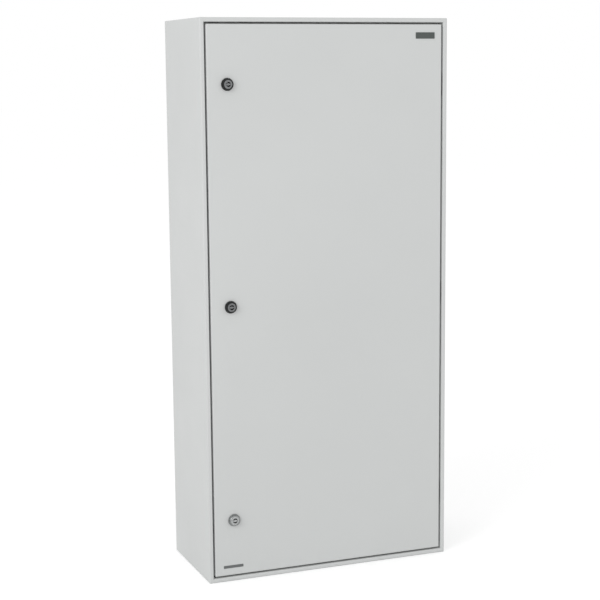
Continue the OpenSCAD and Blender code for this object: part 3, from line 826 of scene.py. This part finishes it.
STUD_PITCH = 1.25 * MM

# A nut's corner radius as a share of its stud's diameter, and its flange
NUT_CORNER_SHARE = 0.95
NUT_FLANGE_W = 1.5 * MM
NUT_FLANGE_SHARE = 0.2

stud_boxes = solid_boxes("plate_studs")
stud_r = (stud_boxes[0][1].x - stud_boxes[0][0].x) / 2
stud_length = stud_boxes[0][1].y - stud_boxes[0][0].y
stud_rod = threaded_rod("plate_stud", stud_r, STUD_PITCH, stud_length, finishes["zinc_plate"])
stud_feet = [Vector((middle(b).x, b[1].y, middle(b).z)) for b in stud_boxes]
seat_patterns(
    "threaded_plate_studs", stud_rod, stud_feet, TO_FRONT, "cabinet", "zinc_plate", ("plate_studs",),
)

nut_boxes = solid_boxes("plate_nuts")
nut_h = nut_boxes[0][1].y - nut_boxes[0][0].y
stud_nut_r = NUT_CORNER_SHARE * 2 * stud_r
stud_nut_af = 2 * stud_nut_r * math.cos(math.pi / 6)
flange_r = stud_nut_r + NUT_FLANGE_W
flange_t = NUT_FLANGE_SHARE * nut_h
plate_nut = hexagon_nut("plate_nut", stud_nut_af, nut_h, stud_r, flange_r, flange_t)
nut_seats = [Vector((middle(b).x, b[1].y, middle(b).z)) for b in nut_boxes]
seat_patterns(
    "flanged_plate_nuts", plate_nut, nut_seats, TO_FRONT, "cabinet", "zinc_plate", ("plate_nuts",),
)

# Earth studs on the base and on the door

earth_nut = hexagon_nut("earth_nut", stud_nut_af, nut_h, stud_r)


def earth_stud(node, name, body, foot, turn, length):
    """A threaded stud with its nut, from its foot."""
    rod = threaded_rod(name + "_rod", stud_r, STUD_PITCH, length, finishes["zinc_plate"])
    seat_patterns(name + "_rod", rod, [foot], turn, body, "zinc_plate", (node,))
    seat_patterns(name + "_nut", earth_nut, [foot], turn, body, "zinc_plate", (node,))


earth_low, earth_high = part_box("cabinet_earth_stud")
earth_foot = middle((earth_low, earth_high))
earth_foot.z = earth_low.z
earth_stud("cabinet_earth_stud", "base_earth", "cabinet", earth_foot, UPWARDS, earth_high.z - earth_low.z)
earth_low, earth_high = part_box("door_earth_stud")
earth_foot = middle((earth_low, earth_high))
earth_foot.y = earth_low.y
earth_stud("door_earth_stud", "door_earth", "door", earth_foot, TO_BACK, earth_high.y - earth_low.y)

# Nuts of the locks

BARREL_R = 11 * MM
LOCK_NUT_PLAY = 0.1 * MM

lock_nut_boxes = solid_boxes("lock_nuts")
lock_nut_h = lock_nut_boxes[0][1].y - lock_nut_boxes[0][0].y
lock_nut_af = lock_nut_boxes[0][1].z - lock_nut_boxes[0][0].z
lock_nut = hexagon_nut("lock_nut", lock_nut_af, lock_nut_h, BARREL_R + LOCK_NUT_PLAY)
lock_nut_seats = [Vector((middle(b).x, b[0].y, middle(b).z)) for b in lock_nut_boxes]
seat_patterns(
    "chamfered_lock_nuts", lock_nut, lock_nut_seats, TO_BACK, "door", "zinc_plate", ("lock_nuts",),
)

# Threads of the lock barrels, behind their nuts and between their flats

BARREL_PITCH = 1.5 * MM
BARREL_FLAT = 10 * MM
THREAD_RISE = 0.35 * MM
THREAD_ROOT = 0.25 * MM
THREAD_STEPS = 14

# Half the width of a ridge at its foot and at its crest, as shares of the pitch
THREAD_FOOT = 0.42
THREAD_CREST = 0.08


def barrel_turn(name):
    """One turn of thread about Z: two ridges that end in the planes of the barrel's flats."""
    root = BARREL_R - THREAD_ROOT
    crest = BARREL_R + THREAD_RISE
    section = ((root, -THREAD_FOOT), (crest, -THREAD_CREST), (crest, THREAD_CREST), (root, THREAD_FOOT))
    bm = bmesh.new()
    for side in range(2):
        rings = []
        for step in range(THREAD_STEPS + 1):
            ring = []
            for radius, offset in section:
                edge = math.acos(BARREL_FLAT / radius)
                angle = side * math.pi + edge + (math.pi - 2 * edge) * step / THREAD_STEPS
                rise = BARREL_PITCH * (angle / math.tau + offset)
                ring.append(bm.verts.new((radius * math.cos(angle), radius * math.sin(angle), rise)))
            rings.append(ring)
        joined_rings(bm, rings)
    return mesh_from(name, bm)


def barrel_thread(level, slot, nut_box):
    """Turns of thread from the nut to the barrel's end; a turn is up to one and a half pitches deep."""
    start = nut_box[1].y + 0.5 * BARREL_PITCH
    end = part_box(level + "_lock_housing")[1].y - 1.5 * BARREL_PITCH
    turns = int((end - start) / BARREL_PITCH) + 1
    axis = middle(nut_box)
    seats = [Vector((axis.x, start + turn * BARREL_PITCH, axis.z)) for turn in range(turns)]
    seat_patterns(level + "_barrel_thread", barrel_turn("thread_turn"), seats, TO_BACK, "door", slot)


LOCK_SLOTS = {"lower": "lock_bright", "middle": "lock_dark", "upper": "lock_dark"}
for (level, slot), nut_box in zip(LOCK_SLOTS.items(), sorted(lock_nut_boxes, key=lambda b: b[0].z)):
    barrel_thread(level, slot, nut_box)

# Bolts and washers that hold the cams

CAM_BOLT_R = 3 * MM
CAM_HEAD_R = 2 * CAM_BOLT_R
CAM_HEAD_AF = 2 * CAM_HEAD_R * math.cos(math.pi / 6)
CAM_HEAD_H = 4 * MM
CAM_WASHER_T = 1.2 * MM
for level in ("upper", "middle", "lower"):
    node = level + "_cam_screw"
    screw_low, screw_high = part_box(node)
    seat = middle((screw_low, screw_high))
    seat.y = screw_high.y - CAM_HEAD_H - CAM_WASHER_T
    tail = seat.y - screw_low.y
    washer_r = (screw_high.x - screw_low.x) / 2
    bolt = hexagon_screw(node + "_bolt", CAM_HEAD_AF, CAM_HEAD_H, CAM_BOLT_R, tail, washer_r, CAM_WASHER_T)
    seat_patterns(level + "_cam_bolt", bolt, [seat], TO_BACK, level + "_latch", "zinc_plate", (node,))

# Spot welds along the feet of the door's rails

WELD_R = 3 * MM
WELD_H = 0.3 * MM
WELD_PITCH = 70 * MM
RAIL_FOOT_MIDDLE = 4 * MM
RAIL_SHEET = 1.5 * MM
for side in ("left", "right"):
    rail_low, rail_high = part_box(side + "_door_rail")
    count = int((rail_high.z - rail_low.z) / WELD_PITCH)
    first_z = (rail_low.z + rail_high.z - (count - 1) * WELD_PITCH) / 2
    for row, x in (("outer", rail_low.x + RAIL_FOOT_MIDDLE), ("inner", rail_high.x - RAIL_FOOT_MIDDLE)):
        welds = grown_mesh(f"{side}_rail_{row}_welds", DOTS, {
            "Count": count, "First": (x, rail_low.y + RAIL_SHEET, first_z),
            "Pitch": (0.0, 0.0, WELD_PITCH), "Radius": WELD_R, "Height": WELD_H,
            "Turn": TO_BACK, "Finish": finishes["galvanised"],
        })
        add_piece(f"{side}_rail_{row}_welds", welds, "door")

# Foam bead of the door gasket: a domed strip round the seal lip's line

BEAD_W = 11 * MM
BEAD_CORNER = 1.2 * BEAD_W


def foam_bead(node, name):
    """A bead as wide and as high as the node's box allows, domed to the back."""
    box_low, box_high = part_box(node)
    centre = middle((box_low, box_high))
    bead = grown_mesh(name, BEAD, {
        "Width": box_high.x - box_low.x - BEAD_W, "Height": box_high.z - box_low.z - BEAD_W,
        "Corner": BEAD_CORNER, "Strip": BEAD_W, "Rise": box_high.y - box_low.y,
        "Place": (centre.x, box_low.y, centre.z), "Turn": TO_BACK, "Finish": finishes["foam"],
    })
    add_piece(name, bead, "door", (node,))


foam_bead("door_gasket", "door_gasket_bead")

# Floor, world and lamps

FLOOR_HALF = 40.0
FLOOR_TONE = 0.82
SKY_STRENGTH = 0.8
FLOOR_LIFT = 1.0 - FLOOR_TONE * SKY_STRENGTH
LAMP_TARGET = Vector((0.0, 0.0, 0.6))
KEY_PLACE = Vector((-3.8, -2.6, 2.4))
KEY_WIDTH = 2.6
KEY_POWER = 62.0
FILL_PLACE = Vector((1.6, -4.6, 1.4))
FILL_WIDTH = 2.8
FILL_POWER = 16.0


def camera_white(tree, surface, lift):
    """Lifts a stage surface towards white where the camera or a reflection sees it."""
    ray = tree.nodes.new("ShaderNodeLightPath").outputs
    seen = reckoned(tree, "MAXIMUM", ray["Is Camera Ray"], ray["Is Glossy Ray"])
    seen = reckoned(tree, "MAXIMUM", seen, ray["Is Transmission Ray"])
    glow = tree.nodes.new("ShaderNodeEmission")
    tree.links.new(reckoned(tree, "MULTIPLY", seen, lift), glow.inputs["Strength"])
    both = tree.nodes.new("ShaderNodeAddShader")
    tree.links.new(surface, both.inputs[0])
    tree.links.new(glow.outputs[0], both.inputs[1])
    return both.outputs[0]


def make_floor():
    mesh = bpy.data.meshes.new("floor")
    corners = [(x * FLOOR_HALF, y * FLOOR_HALF, 0.0) for x, y in ((-1, -1), (1, -1), (1, 1), (-1, 1))]
    mesh.from_pydata(corners, [], [(0, 1, 2, 3)])
    material = bpy.data.materials.new("pale_floor")
    material.use_nodes = True
    tree = material.node_tree
    tree.nodes.clear()
    matt = tree.nodes.new("ShaderNodeBsdfDiffuse")
    matt.inputs["Color"].default_value = (FLOOR_TONE, FLOOR_TONE, FLOOR_TONE, 1.0)
    output = tree.nodes.new("ShaderNodeOutputMaterial")
    tree.links.new(camera_white(tree, matt.outputs[0], FLOOR_LIFT), output.inputs["Surface"])
    mesh.materials.append(material)
    floor = bpy.data.objects.new("floor", mesh)
    scene.collection.objects.link(floor)


def make_world():
    world = bpy.data.worlds.new("studio")
    world.use_nodes = True
    scene.world = world
    tree = world.node_tree
    tree.nodes.clear()
    sky = tree.nodes.new("ShaderNodeBackground")
    sky.inputs["Color"].default_value = (1.0, 1.0, 1.0, 1.0)
    sky.inputs["Strength"].default_value = SKY_STRENGTH
    output = tree.nodes.new("ShaderNodeOutputWorld")
    tree.links.new(camera_white(tree, sky.outputs[0], 1.0 - SKY_STRENGTH), output.inputs["Surface"])


def make_lamp(name, place, width, power):
    data = bpy.data.lights.new(name, "AREA")
    data.shape = "DISK"
    data.size = width
    data.energy = power
    lamp = bpy.data.objects.new(name, data)
    scene.collection.objects.link(lamp)
    aim = (LAMP_TARGET - place).to_track_quat("-Z", "Y")
    lamp.matrix_world = Matrix.Translation(place) @ aim.to_matrix().to_4x4()


make_floor()
make_world()
make_lamp("key", KEY_PLACE, KEY_WIDTH, KEY_POWER)
make_lamp("fill", FILL_PLACE, FILL_WIDTH, FILL_POWER)
